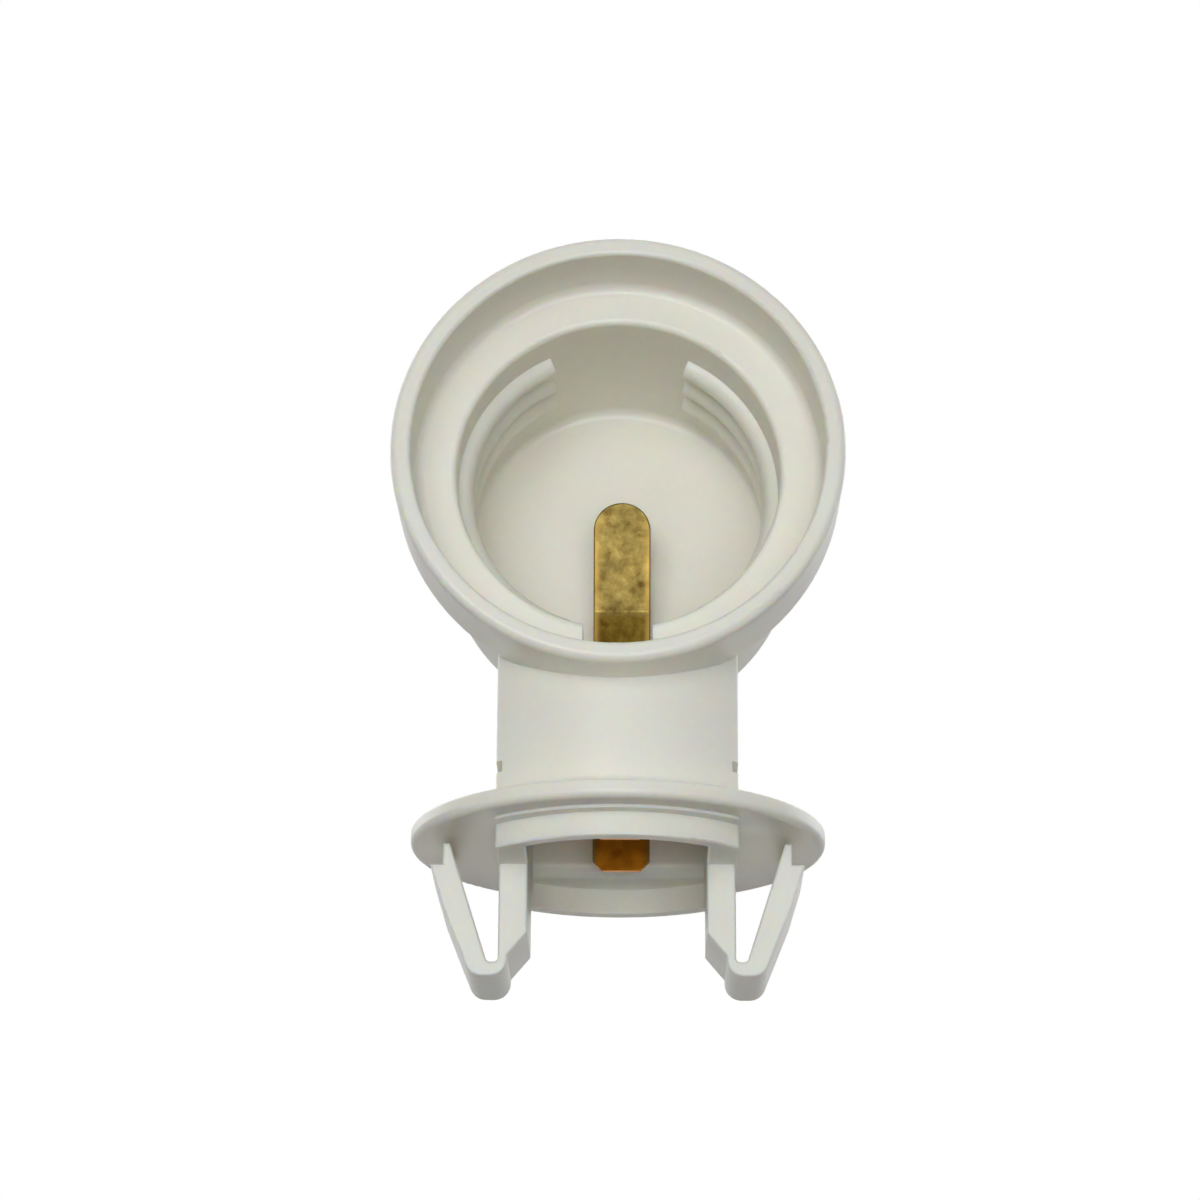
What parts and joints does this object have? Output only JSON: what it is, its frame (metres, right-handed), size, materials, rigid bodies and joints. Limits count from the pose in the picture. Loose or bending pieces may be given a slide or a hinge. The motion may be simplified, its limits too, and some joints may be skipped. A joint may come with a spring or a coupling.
{
  "type": "lamp holder",
  "caption": "Side-entry screw lamp holder that snaps into a round panel hole: round cup on a flanged stem, with V-shaped spring clips and brass contact strips.",
  "frame": {"origin": "centre of the flange's underside, the face that lies on the panel round its hole", "axes": "+Z along the stem, away from the panel and towards the cup; the cup's mouth, where the lamp leaves, faces -Y; +X completes the frame, through the clip on the right as seen from the mouth"},
  "size_m": [0.037, 0.0352, 0.0593],
  "materials": {
    "ivory_plastic": "satin moulded thermoplastic, ivory white",
    "brass": "plain rolled strip, slightly tarnished"
  },
  "bodies": {
    "root": {"housing": "ivory_plastic", "centre_contact": "brass", "side_contact": "brass"}
  },
  "joints": []
}
